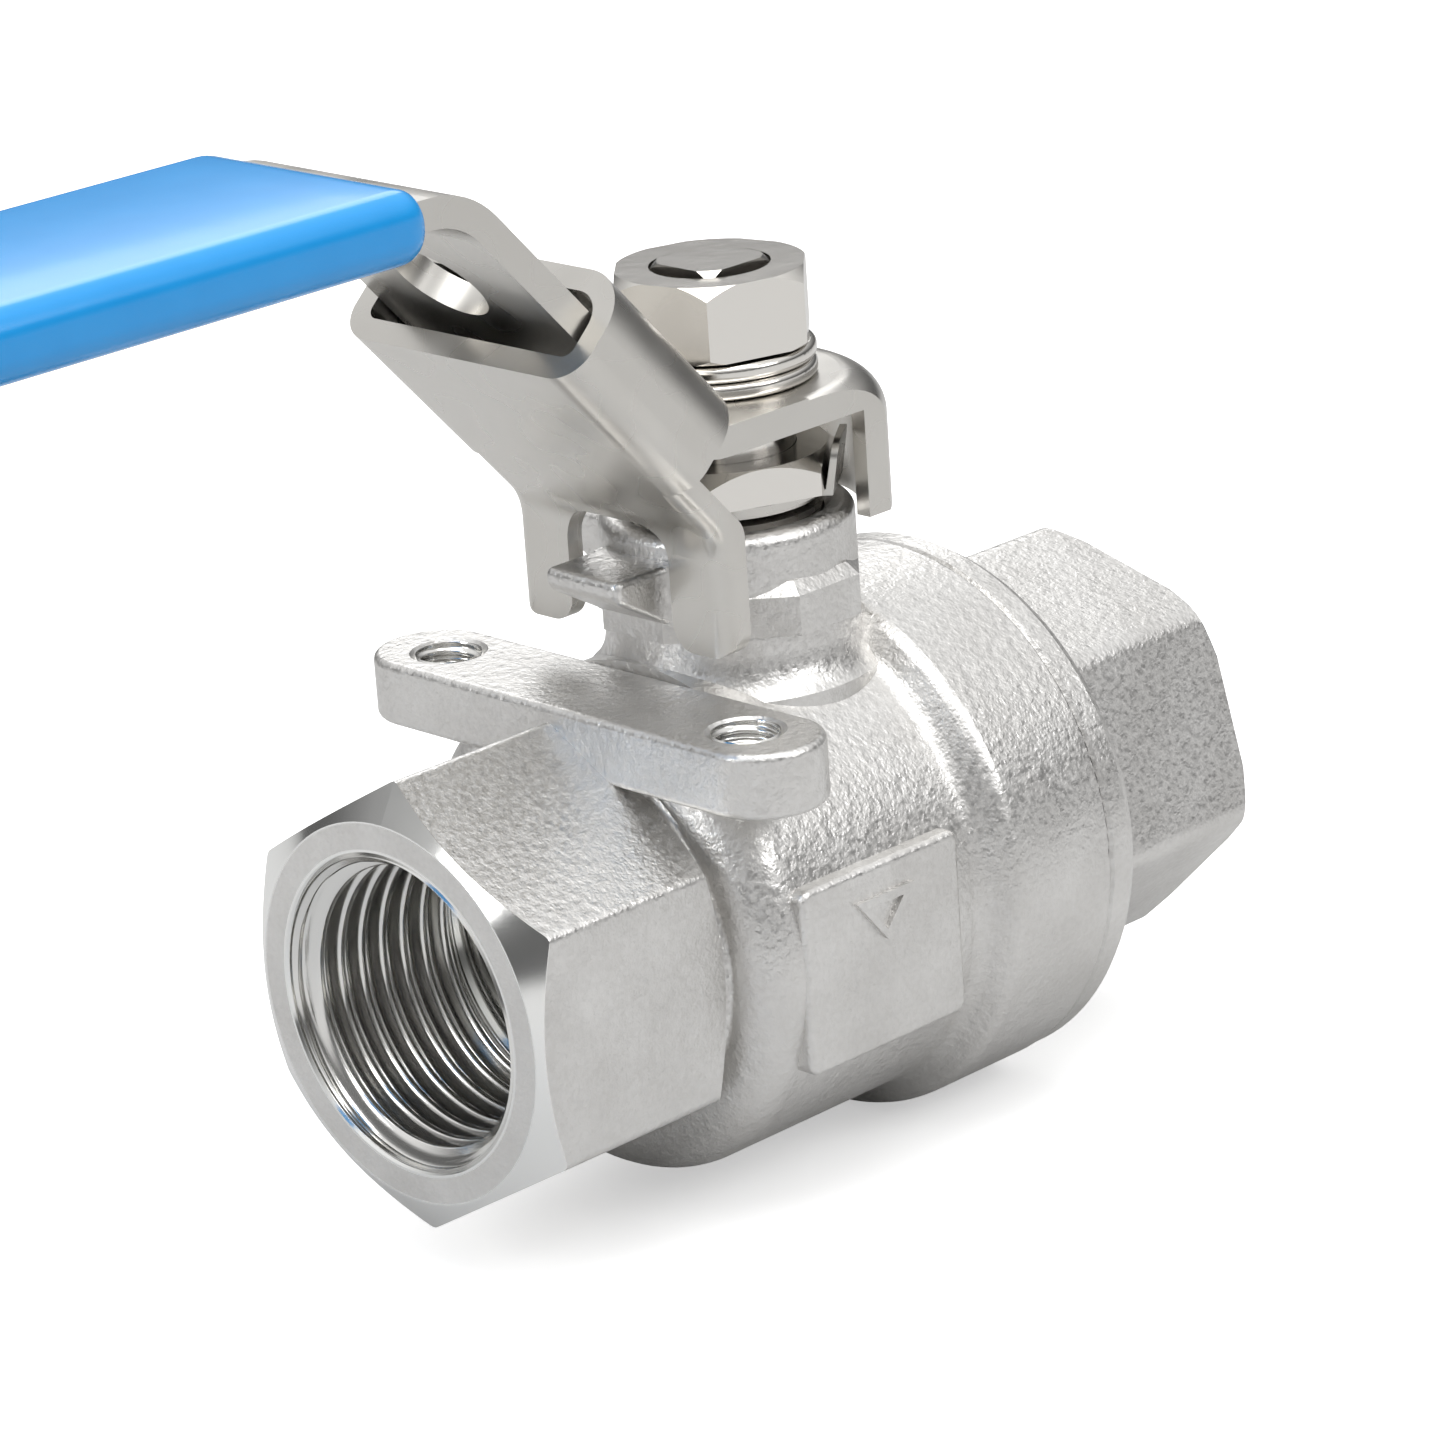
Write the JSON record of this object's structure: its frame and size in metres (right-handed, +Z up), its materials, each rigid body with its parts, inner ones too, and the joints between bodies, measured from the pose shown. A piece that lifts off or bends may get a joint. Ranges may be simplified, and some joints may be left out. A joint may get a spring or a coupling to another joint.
{
  "type": "ball valve",
  "caption": "Two-piece threaded water shutoff valve: ball turned by a cranked lever, with a sliding lock sleeve that straddles lugs on the neck.",
  "frame": {"origin": "centre of the body port's mouth, on the pipe axis", "axes": "+X out of the body port along the pipe, +Z up the stem, +Y sideways; the lever points along +X over the body port when the valve is open"},
  "size_m": [0.14, 0.0388, 0.0741],
  "materials": {
    "cast_stainless": "fine blasted casting, machined at the ports",
    "rolled_stainless": "satin rolled sheet",
    "bright_stainless": "bright turned",
    "ball_chrome": "polished",
    "ptfe": "waxy white",
    "o_ring_rubber": "matt",
    "blue_vinyl": "glossy dipped vinyl"
  },
  "bodies": {
    "valve": {"valve_body": "cast_stainless", "end_cap": "cast_stainless", "body_gasket": "ptfe", "body_seat": "ptfe", "cap_seat": "ptfe", "thrust_washer": "ptfe", "packing_ring_lower": "ptfe", "packing_ring_middle": "ptfe", "packing_ring_upper": "ptfe", "packing_gland": "bright_stainless", "disc_spring_lower": "rolled_stainless", "disc_spring_upper": "rolled_stainless"},
    "handle": {"stem": "bright_stainless", "stem_o_ring": "o_ring_rubber", "tab_washer": "rolled_stainless", "gland_nut": "bright_stainless", "lever": "rolled_stainless", "grip": "blue_vinyl", "spring_washers": "bright_stainless", "handle_nut": "bright_stainless"},
    "ball": {"ball": "ball_chrome"},
    "lock": {"lock_sleeve": "rolled_stainless"}
  },
  "joints": [
    {"name": "handle_turn", "type": "hinge", "parent": "valve", "child": "handle", "pos_m": [-0.032, 0, 0.03], "axis": [0, 0, -1], "range_deg": [0, 90]},
    {"name": "ball_turn", "type": "hinge", "parent": "valve", "child": "ball", "pos_m": [-0.032, 0, 0], "axis": [0, 0, -1], "range_deg": [0, 90]},
    {"name": "lock_slide", "type": "slide", "parent": "handle", "child": "lock", "axis": [0.6756, 0, 0.7373], "range_m": [0, 0.008]}
  ],
  "couplings": [
    {"joint": "ball_turn", "follows": "handle_turn", "ratio": 1}
  ]
}
